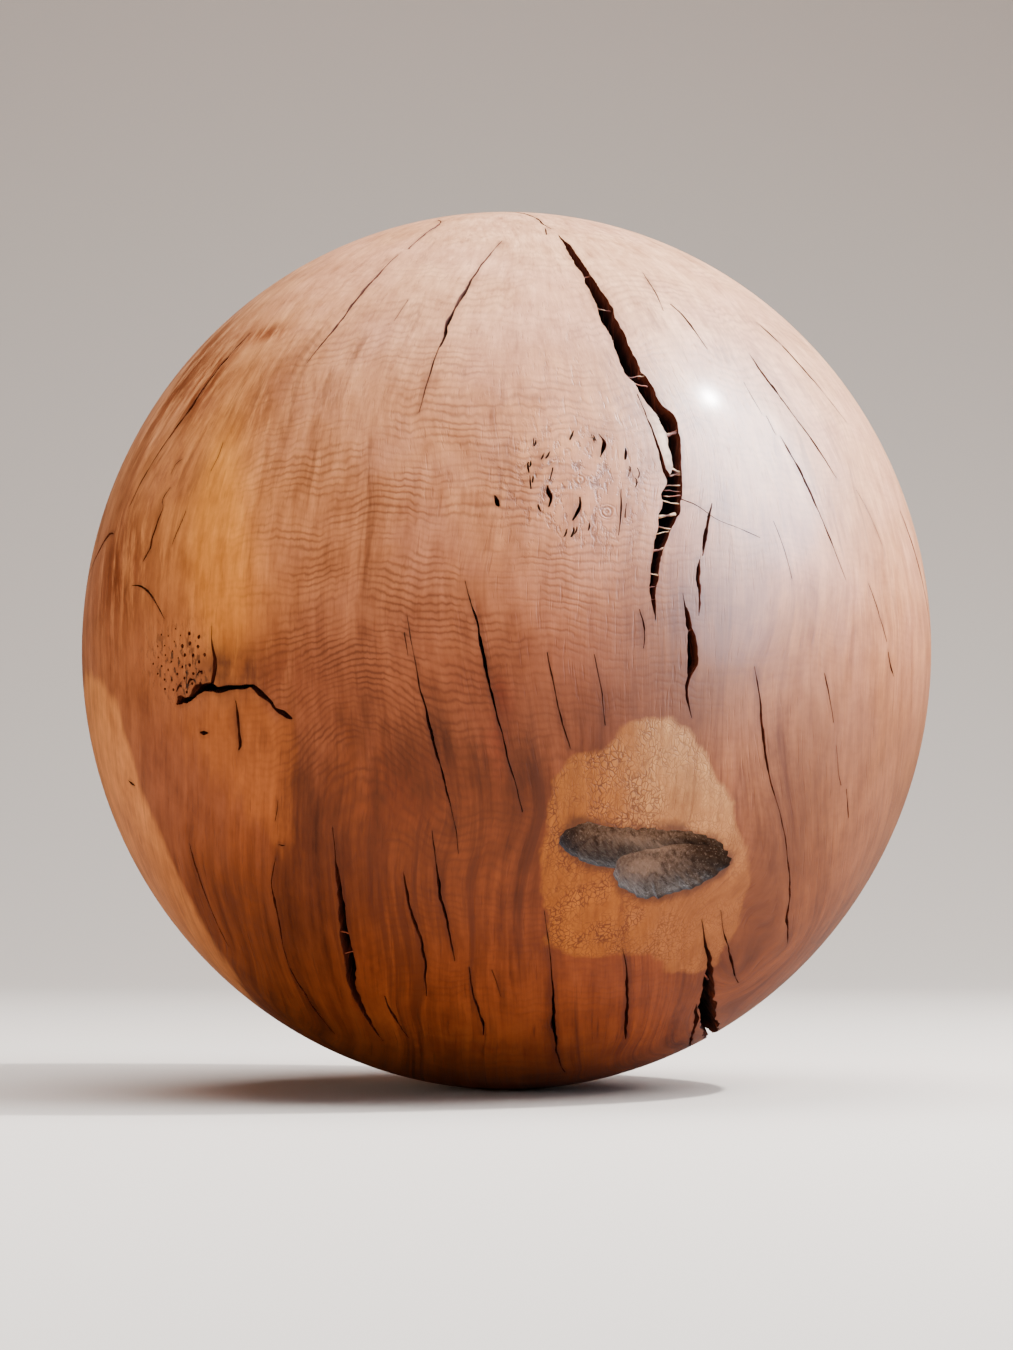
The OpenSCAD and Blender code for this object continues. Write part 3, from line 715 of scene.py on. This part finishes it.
palette = {
    # as they look, 0 to 255
    "tan": (190, 128, 86), "brown": (146, 85, 54), "umber": (118, 70, 32), "rose": (176, 118, 96),
    # the pale tan is partly painted light on the crown and the upper right
    "paleTan": (210, 156, 118), "gold": (220, 144, 60), "amber": (128, 66, 32), "red": (125, 66, 31),
    # the lighter orange red is painted bounce light on the red lower wood
    "deepRed": (92, 46, 23), "bounceLitRed": (146, 80, 36), "sapwood": (224, 156, 90),
    "knotTop": (190, 147, 94), "knotLow": (157, 106, 54), "knotWarm": (168, 108, 36),
    "knotFigure": (168, 100, 46), "grain": (92, 46, 26), "rust": (128, 54, 26), "stain": (70, 34, 28),
    # the near black crack colour is painted shade deep inside a crack
    "crackWall": (88, 38, 22), "crackDeepShade": (20, 9, 6), "grey": (172, 166, 160),
    # the sooty dark also serves as painted shade in the hollow
    "greyMid": (132, 125, 119), "greyDark": (84, 75, 69), "sootyAndShade": (44, 33, 28),
    "fibre": (228, 196, 158), "torn": (150, 84, 62), "floor": (214, 204, 194),
    "groundGlow": (186, 138, 102),     # what the floor throws back onto the object
    "groundMirror": (88, 76, 70),      # and how it looks in the object's sheen
}

tree = None    # the nodes of the material in hand


def colour(name):
    shares = [v / 255 for v in palette[name]]
    return tuple(v / 12.92 if v <= 0.04 else ((v + 0.055) / 1.055) ** 2.4 for v in shares) + (1,)


def newMaterial(name):
    global tree
    material = bpy.data.materials.new(name)
    material.use_nodes = True
    tree = material.node_tree
    return material, tree.nodes["Principled BSDF"]


def feed(made, inputs):
    # an input takes another node's socket, a name from the palette or a plain value
    for key, value in inputs.items():
        if isinstance(value, bpy.types.NodeSocket):
            tree.links.new(value, made.inputs[key])
        else:
            made.inputs[key].default_value = colour(value) if isinstance(value, str) else value


def node(kind, inputs, output=0, **settings):
    made = tree.nodes.new("ShaderNode" + kind)
    for key, value in settings.items():
        setattr(made, key, value)
    feed(made, inputs)
    return made.outputs[output]


def maths(operation, a, b=0, c=0):
    return node("Math", {0: a, 1: b, 2: c}, operation=operation)


def times(a, b):
    return maths("MULTIPLY", a, b)


def addTimes(base, pattern, amount):
    return maths("MULTIPLY_ADD", pattern, amount, base)


def uneven(base, *rows):
    # adds patterns that swing about a half, each by its amount
    for pattern, amount in rows:
        base = addTimes(base, maths("SUBTRACT", pattern, 0.5), amount)
    return base


def steps(value, low, high, lowOut=0, highOut=1):
    ends = {0: value, 1: low, 2: high, 3: lowOut, 4: highOut}
    return node("MapRange", ends, interpolation_type="SMOOTHSTEP")


def mix(share, a, b, how="MIX"):
    return node("Mix", {0: share, 6: a, 7: b}, 2, data_type="RGBA", blend_type=how)


def layered(base, rows):
    for share, tint in rows:
        base = mix(share, base, tint)
    return base


def wave(value, spacing):
    # from 0 to 1 and back in each spacing
    return addTimes(0.5, maths("SINE", times(value, 2 * pi / spacing)), 0.5)


def scaled(vector, by):
    return node("VectorMath", {0: vector, 1: by}, operation="MULTIPLY")


def softNoise(vector, bumps, detail=3.0, rough=0.55, by=(1, 1, 1)):
    # bumps are to a metre, and by squeezes the pattern along each axis
    place = scaled(vector, by)
    return node("TexNoise", {"Vector": place, "Scale": bumps, "Detail": detail, "Roughness": rough})


def field(name, output=2):
    # a value stored by fields(), or its vector from output 1
    return node("Attribute", {}, output, attribute_name=name)


def objectPlace():
    return node("TexCoord", {}, 3)


def surface(shader, base, rough, height, strength=0.8, distance=0.0012):
    bump = node("Bump", {"Strength": strength, "Distance": distance, "Height": height})
    feed(shader, {"Base Color": base, "Roughness": rough, "Normal": bump})


oak = {
    # patterns that follow the grain: bumps a metre, detail, roughness and stretch
    "grain": {
        "wide": (37, 3, 0.5, (1, 1, 0.1)),
        "medium": (130, 3, 0.6, (1, 1, 0.07)),
        "fine": (560, 3, 0.65, (1, 1, 0.045)),
        "ragged": (70, 5, 0.7, (1, 1, 0.18)),
        "band": (260, 3, 0.65, (1, 1, 0.3)),
        "darkStreak": (95, 4, 0.7, (1, 1, 0.05)),
        "pore": (700, 2, 0.5, (1, 1, 0.1)),
        "sway": (42, 3, 0.5, (1, 1, 0.22)),
        "ripple": (150, 3, 0.6, (1, 1, 0.4)),
    },
    # and patterns that don't
    "spread": {
        "cloud": (20, 4, 0.6),
        "mottle": (75, 4, 0.6, (1, 1, 0.7)),
        "blotch": (34, 5, 0.68, (1, 1, 0.7)),
        "drift": (12, 2, 0.5),
        "bend": (70, 2, 0.5, (0.06, 0.06, 1)),
        "broken": (38, 3, 0.6, (0.7, 0.7, 1.5)),
        "curl": (260, 4, 0.7, (1, 1, 0.45)),
        "freckle": (420, 3, 0.6, (1, 1, 0.5)),
    },
    "streaksAbove": 0.42,    # strength of the upright streaks in the light wood
    "streaksBelow": 0.9,     # and in the dark wood
    "ringSpacing": 0.0037,   # m
    "ringSway": 0.0126,      # height of the waves in a ring line, m
    "ringStrength": 0.58,
    "eyes": [(12.7, 13.5, 5), (8, 21.3, 3.4), (9.4, 17.5, 4.2)],    # turn, rise and size in mm
    "eyeSpacing": 0.0017,    # m
    "crazeCells": 560,       # cells of the crazed wood to a metre
    "coat": 0.2,
    "coatRoughness": 0.16,
    "bump": (0.45, 0.0008),  # strength and height in m
}


def oiledOak():
    material, shader = newMaterial("oiledOak")
    flow = field("flow", 1)
    place = objectPlace()
    px, py, pz = node("SeparateXYZ", {0: place}).node.outputs

    def along(name):
        return softNoise(flow, *oak["grain"][name])

    def anywhere(name):
        return softNoise(place, *oak["spread"][name])

    wide, medium, fine, ragged = along("wide"), along("medium"), along("fine"), along("ragged")
    cloud, mottle = anywhere("cloud"), anywhere("mottle")

    # the brown below the widest circle and the red of the lower half, which change from left to right; the
    # lighter red at the bottom and on the lower left limb is painted bounce light
    duskTone = mix(steps(px, 0.015, 0.09), "brown", "umber")
    redTone = layered(mix(steps(wide, 0.2, 0.7), "deepRed", "red"), [
        # painted bounce light: the red turns lighter towards the bottom and on the lower left limb
        (steps(pz, -0.12, -0.2, 0, 0.85), "bounceLitRed"),
        (steps(px, -0.085, -0.13, 0, 0.8), "bounceLitRed"),
        (steps(px, 0.05, 0.12, 0, 0.7), "umber"),
    ])
    darkShare = steps(uneven(field("darkAway"), (ragged, 0.1)), 0.02, -0.03)
    sapShare = times(steps(uneven(field("sapAway"), (ragged, 0.012)), 0.003, -0.004, 0, 0.9),
                     steps(uneven(py, (ragged, 0.06)), 0.07, -0.01))
    figureShare = steps(uneven(field("figureAway"), (ragged, 0.02)), 0.003, -0.006, 0, 0.85)

    # the pale wood around the dead branch, singed at the rim
    inPatch = steps(uneven(field("patchAway"), (mottle, 0.014)), 0.0018, -0.0018)
    knotTone = mix(steps(uneven(pz, (mottle, 0.04)), -0.115, -0.07), "knotLow", "knotTop")
    knotTone = mix(steps(uneven(px, (mottle, 0.05)), 0.078, 0.036, 0, 0.9), knotTone, "knotWarm")
    singed = times(steps(uneven(field("rimAway"), (mottle, 0.012)), 0.005, 0), inPatch)

    # the pale tan is partly the wood's own tone and partly painted light on the crown and the upper right
    base = layered(mix(field("pale"), "tan", "paleTan"), [
        (steps(cloud, 0.42, 0.62, 0, 0.35), "rose"),
        (field("gold"), "gold"),
        (times(field("amber"), steps(ragged, 0.4, 0.52)), "amber"),
        (times(field("swirl"), steps(anywhere("blotch"), 0.46, 0.62, 0, 0.8)), "brown"),
        (times(field("dusk"), 0.85), duskTone),
        (darkShare, redTone),
        (sapShare, "sapwood"),
        (figureShare, "knotFigure"),
        (times(field("rust"), steps(mottle, 0.36, 0.6, 0.1, 0.9)), "rust"),
        (times(field("stain"), steps(mottle, 0.3, 0.66, 0.1, 0.8)), "stain"),
        (times(field("bare"), 0.8), "fibre"),
        (inPatch, knotTone),
        (times(singed, 0.65), "stain"),
    ])

    # fine crazing of that wood
    swirls = node("TexNoise", {"Vector": place, "Scale": 120, "Detail": 2}, 1)
    warped = scaled(swirls, (0.008, 0.008, 0.008))
    crazePlace = scaled(node("VectorMath", {0: place, 1: warped}, operation="ADD"), (1, 1, 0.5))
    cells = {"Vector": crazePlace, "Scale": oak["crazeCells"]}
    craze = node("TexVoronoi", cells, feature="DISTANCE_TO_EDGE")
    crazeLine = times(steps(craze, 0.17, 0), times(inPatch, steps(mottle, 0.36, 0.58, 0.15, 1)))
    crazeLine = times(crazeLine, steps(px, 0.1, 0.045, 0.35, 1))

    # streaks darken or lighten what is under them
    calm = maths("MAXIMUM", sapShare, inPatch)
    streak = steps(maths("SUBTRACT", darkShare, calm), 0, 1, oak["streaksAbove"], oak["streaksBelow"])
    shade = addTimes(1, uneven(0, (wide, 0.6), (medium, 1.5), (fine, 0.8)), streak)
    shade = uneven(shade, (mottle, 0.85), (along("band"), 0.65), (cloud, 0.5))
    shade = maths("MAXIMUM", shade, 0.25)
    grey = node("CombineColor", {0: shade, 1: maths("POWER", shade, 1.25), 2: maths("POWER", shade, 1.4)})
    base = mix(1, base, grey, "MULTIPLY")

    # yearly rings, cut along the front into thin wavy lines one above the other
    height = uneven(pz, (along("sway"), oak["ringSway"]), (anywhere("drift"), 0.03),
                    (along("ripple"), 0.0045), (anywhere("bend"), 0.006))
    height = maths("SUBTRACT", height, field("dome"))
    line = maths("POWER", wave(height, oak["ringSpacing"]), 2.2)
    broken = steps(anywhere("broken"), 0.36, 0.62, 0.15, 1)
    ringShare = maths("MAXIMUM", maths("SUBTRACT", field("rings"), inPatch), 0)
    ringLine = times(times(line, broken), ringShare)

    # eyes of the burr: small rings around buds that never grew
    eyeLine = 0
    for turn, rise, size in oak["eyes"]:
        middle = tuple(onBall(direction(turn, rise)))
        away = node("VectorMath", {0: place, 1: middle}, 1, operation="DISTANCE")
        away = uneven(away, (mottle, 0.007))
        near = steps(away, size * mm, size * 0.4 * mm)
        eyeLine = addTimes(eyeLine, wave(away, oak["eyeSpacing"]), near)

    # lines, specks and the oil and dirt along the cracks
    curl = times(steps(anywhere("curl"), 0.52, 0.66), field("burr"))
    freckle = times(steps(anywhere("freckle"), 0.52, 0.64), field("pitted"))
    pores = steps(along("pore"), 0.6, 0.72)
    base = layered(base, [
        (times(ringLine, oak["ringStrength"]), "grain"),
        (times(eyeLine, 0.55), "grain"),
        (times(curl, 0.8), "grain"),
        (times(freckle, 0.75), "sootyAndShade"),
        (times(steps(along("darkStreak"), 0.57, 0.68), times(streak, 0.8)), "grain"),
        (times(pores, steps(streak, 0.3, 1, 0.18, 0.4)), "grain"),
        (times(crazeLine, 0.85), "grain"),
        (times(steps(uneven(field("crackAway"), (medium, 0.003)), 0.0022, 0), 0.25), "stain"),
    ])

    relief = 0
    for pattern, amount in ((fine, 0.25), (medium, 0.35), (mottle, 0.25), (pores, -0.2), (ringLine, -0.25),
                            (crazeLine, -0.5), (curl, -0.7), (eyeLine, -0.4), (freckle, -0.8)):
        relief = addTimes(relief, pattern, amount)
    gloss = addTimes(uneven(0.47, (fine, 0.2), (cloud, 0.2)), inPatch, 0.12)
    surface(shader, base, gloss, relief, *oak["bump"])
    feed(shader, {"Coat Weight": oak["coat"], "Coat Roughness": oak["coatRoughness"]})
    return material


def crackWood():
    material, shader = newMaterial("crackWood")
    depth = field("depth")
    torn = softNoise(objectPlace(), 420, 3, 0.6, (1, 1, 0.08))
    # painted shade: the wall turns near black deeper than about 9 mm, and its lighter torn fibres show only
    # in the top 20 mm
    base = mix(steps(depth, 0, 0.009), "crackWall", "crackDeepShade")
    base = mix(times(steps(torn, 0.52, 0.72), steps(depth, 0.02, 0, 0, 0.7)), base, "torn")
    surface(shader, base, addTimes(0.72, torn, 0.2), torn)
    return material


def greyHollow():
    # weathered wood, hatched across the grain of the branch, with painted shade at its ends and under its
    # upper rim and painted light on its lower floor and middle ledge
    material, shader = newMaterial("greyHollow")
    place = objectPlace()
    turned = node("Mapping", {"Vector": place, "Rotation": (0, radians(35), 0)}, vector_type="POINT")
    hatch = softNoise(turned, 700, 4, 0.7, (1, 1, 0.3))
    fleck = softNoise(turned, 260, 4, 0.7, (1, 1, 0.6))
    speck = softNoise(place, 900, 3, 0.6)
    dim = field("dim")
    base = layered(mix(steps(hatch, 0.34, 0.68), "greyDark", "greyMid"), [
        # where dim is below nothing this grey is painted light, and where it is above nothing the sooty
        # dark is painted shade
        (steps(dim, 0, -0.8, 0, 0.5), "grey"),
        (steps(dim, 0.05, 0.9, 0, 0.85), "sootyAndShade"),
        (steps(speck, 0.56, 0.7, 0, 0.6), "grey"),
        (steps(fleck, 0.52, 0.7, 0, 0.7), "sootyAndShade"),
        (steps(field("depth"), 0.003, 0, 0, 0.75), "sootyAndShade"),
    ])
    surface(shader, base, 0.88, addTimes(hatch, fleck, -1.5))
    return material


def paleFibre():
    material, shader = newMaterial("paleFibre")
    place = objectPlace()
    strand = softNoise(place, 500, 3, 0.6, (0.2, 0.2, 1))
    bleached = steps(softNoise(place, 90, 2, 0.5), 0.48, 0.56)
    base = mix(steps(strand, 0.55, 0.4), mix(bleached, "torn", "fibre"), "crackWall")
    feed(shader, {"Base Color": base, "Roughness": 0.75})
    return material


def paint(piece, depth, rimAway):
    # outside, crack walls and the hollow each take their own material
    piece.data.materials.clear()
    for material in (oiledOak(), crackWood(), greyHollow()):
        piece.data.materials.append(material)
    faces = piece.data.polygons
    choice = np.zeros(len(faces), np.int32)
    for face in faces:
        corners = list(face.vertices)
        if depth[corners].mean() > 0.02 * mm:
            shallow = depth[corners].max() < (hollow["upperDepth"] + 2) * mm
            choice[face.index] = 2 if rimAway[corners].mean() < 1.5 * mm and shallow else 1
    faces.foreach_set("material_index", choice)
    print("  faces outside, on crack walls, in the hollow:", np.bincount(choice).tolist())


# fibres that still bridge the cracks
fibres = {
    "sides": 6,
    "sections": 7,
    # turn, rise, length, width and thickness in mm, tilt in degrees, and how far under the surface, mm
    "rows": [
        (16.4, 51, 5, 1, 0.7, 15, 1.6), (17.6, 44, 7, 0.8, 0.6, -14, 1.8),
        (19.4, 32.3, 10, 0.9, 0.7, 8, 1.2), (19.7, 31.2, 9, 0.8, 0.6, -12, 1.5),
        (23.2, 24.2, 8, 2.6, 1.6, 20, 1.6), (22.8, 19.2, 6, 2.4, 1.4, -25, 1.8),
        (22.6, 18.6, 6, 1.2, 0.9, 8, 1.4), (21.5, 15, 9, 0.7, 0.5, -10, 1.2),
        (20.9, 13.4, 9, 1.8, 1.2, 12, 2), (22, 17.2, 8, 0.7, 0.5, 4, 1.2), (22, 16.5, 9, 0.6, 0.5, -3, 1.4),
        (21.8, 15.8, 9, 0.8, 0.5, 6, 1), (20.3, 11.8, 8, 0.8, 0.6, -10, 1.4),
        (20.1, 11.2, 7, 0.6, 0.5, 14, 1.6), (19.2, 9, 6, 1.4, 0.9, 10, 0.8),
        (18.5, 6, 5, 0.7, 0.5, -8, 0.8), (18.3, 4.5, 4.5, 0.6, 0.4, 12, 0.8),
        (18.3, 3, 3.5, 0.5, 0.4, 0, 0.8), (22.9, -0.6, 5, 0.7, 0.5, 18, 1.2),
        (-27, -39.8, 7, 1, 0.7, -20, 1.4), (-28.2, -43, 7, 0.8, 0.6, 15, 1.6),
        (41.5, -47.5, 8, 1.2, 0.8, -35, 1.6), (-53.6, -30.6, 2.2, 0.6, 0.4, 0, 0.6),
    ],
}


def crackFibres():
    points, faces = [], []
    sides, sections = fibres["sides"], fibres["sections"]
    for row, (turn, rise, length, wide, thick, tilt, under) in enumerate(fibres["rows"]):
        unit = direction(turn, rise)
        level, upright = alongSurface(unit)
        a = radians(tilt)
        along = level * cos(a) - upright * sin(a)
        over = -upright * cos(a) - level * sin(a)
        faces += tubeFaces(len(points), sides, sections)
        for k in range(sections):
            t = k / (sections - 1) * 2 - 1
            bow = 0.5 * bumpy(row * 3.1, t * 1.7, 0)
            middle = onBall(unit, -under * mm) + (along * t * length / 2 + over * bow) * mm
            size = 0.55 + 0.45 * abs(t) + 0.15 * bumpy(row * 5.3, k * 1.1, 4)
            for s in range(sides):
                b = 2 * pi * s / sides
                rim = over * cos(b) * wide + unit * sin(b) * thick
                points.append(middle + rim / 2 * size * mm)
    piece = meshPiece("crackFibres", points, faces)
    faceOutwards(piece)
    bpy.ops.object.shade_smooth()
    piece.data.materials.append(paleFibre())
    return piece


print("stage: ball and cracks")
ball = makeBall()
print("stage: colour fields")
paint(ball, *fields(ball))
selectOnly(ball)
bpy.ops.object.shade_smooth_by_angle(angle=radians(ballShape["sharp"]))
print("stage: fibres")
slivers = crackFibres()
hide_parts("ball")
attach(ball, "root")
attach(slivers, "root")


stageSetup = {
    "floorSize": (14, 9, 1),
    "floorY": -0.5,
    "wallHeight": 5,
    "wallBend": 2.2,         # radius where the floor turns up into the wall, m
    "worldTone": (0.9, 0.86, 0.82, 1),
    "worldStrength": 0.1,
    # direction, distance, size, power and hue; the skies are seen in the sheen alone
    "lights": {
        "keyLight": ((0.7, -0.2, 0.68), 2.2, 1.5, 106, (0.93, 0.97, 1.0)),
        "overLight": ((-0.2, 0.1, 2.4), 1, 2.0, 120, (0.97, 0.97, 1.0)),
        "fillLight": ((-1.5, -1.9, -0.02), 1, 1.3, 30, (1, 0.96, 0.92)),
        "sparkLight": ((0.646, -0.083, 0.76), 2.15, 0.07, 90, (1, 1, 1)),
    },
    "skies": {
        "skyLight": ((0.8, -0.16, 0.56), 2.2, 1.5, 190, (0.62, 0.78, 1.0)),
        "lowSkyLight": ((0.82, -0.52, 0.15), 2.2, 1.0, 36, (0.62, 0.78, 1.0)),
    },
}


def areaLight(name, toward, distance, size, power, hue):
    place = Vector(toward) * distance
    bpy.ops.object.light_add(type="AREA", location=place)
    light = bpy.context.active_object
    light.name = name
    light.data.shape = "SQUARE"
    light.data.size = size
    light.data.energy = power
    light.data.color = hue
    light.rotation_euler = (-place).to_track_quat("-Z", "Y").to_euler()
    return light


def backEdge(floor, foot=False):
    # selects the edge at the back of the floor, or the foot of the wall once it stands there
    for edge in floor.data.edges:
        ends = [floor.data.vertices[v].co for v in edge.vertices]
        edge.select = min(e.y for e in ends) > 4 and (not foot or max(e.z for e in ends) < 1)
    mode("EDIT")


def makeFloor():
    bpy.ops.mesh.primitive_plane_add(size=1, location=(0, 0, cadLow.z))
    floor = bpy.context.active_object
    floor.name = "paleFloor"
    floor.scale = stageSetup["floorSize"]
    bpy.ops.object.transform_apply(location=False, rotation=False, scale=True)
    floor.location.y = stageSetup["floorY"]
    mode("EDIT")
    bpy.ops.mesh.select_all(action="DESELECT")
    mode("OBJECT")
    backEdge(floor)
    bpy.ops.mesh.select_mode(type="EDGE")
    bpy.ops.mesh.extrude_region_move(TRANSFORM_OT_translate={"value": (0, 0, stageSetup["wallHeight"])})
    mode("OBJECT")
    backEdge(floor, foot=True)
    bpy.ops.mesh.bevel(offset=stageSetup["wallBend"], segments=24)
    mode("OBJECT")
    bpy.ops.object.shade_smooth()
    material, shader = newMaterial("paleFloor")
    cameraRay, sheenRay = [node("LightPath", {}, k) for k in (0, 3)]
    base = layered("groundGlow", [(cameraRay, "floor"), (sheenRay, "groundMirror")])
    feed(shader, {"Base Color": base, "Roughness": 0.8})
    floor.data.materials.append(material)
    return floor


def makeStage():
    floor = makeFloor()
    lights = [areaLight(name, *row) for name, row in stageSetup["lights"].items()]
    skies = [areaLight(name, *row) for name, row in stageSetup["skies"].items()]
    for sky in skies:
        sky.data.shape = "DISK"
        sky.visible_diffuse = False
    for light in lights[:3]:
        light.visible_glossy = False
    world = bpy.data.worlds.new("paleWorld")
    bpy.context.scene.world = world
    world.use_nodes = True
    back = world.node_tree.nodes["Background"]
    back.inputs["Color"].default_value = stageSetup["worldTone"]
    back.inputs["Strength"].default_value = stageSetup["worldStrength"]


cameraSetup = {
    "place": (0.0018, -1.9288, -0.1132),
    "aim": (0.0, 0.0, -0.012),
    "lens": 103.6,
}


def makeCamera():
    bpy.ops.object.camera_add(location=cameraSetup["place"])
    camera = bpy.context.active_object
    camera.data.lens = cameraSetup["lens"]
    toward = Vector(cameraSetup["aim"]) - Vector(cameraSetup["place"])
    camera.rotation_euler = toward.to_track_quat("-Z", "Y").to_euler()
    bpy.context.scene.camera = camera


print("stage: floor, light and camera")
makeStage()
makeCamera()
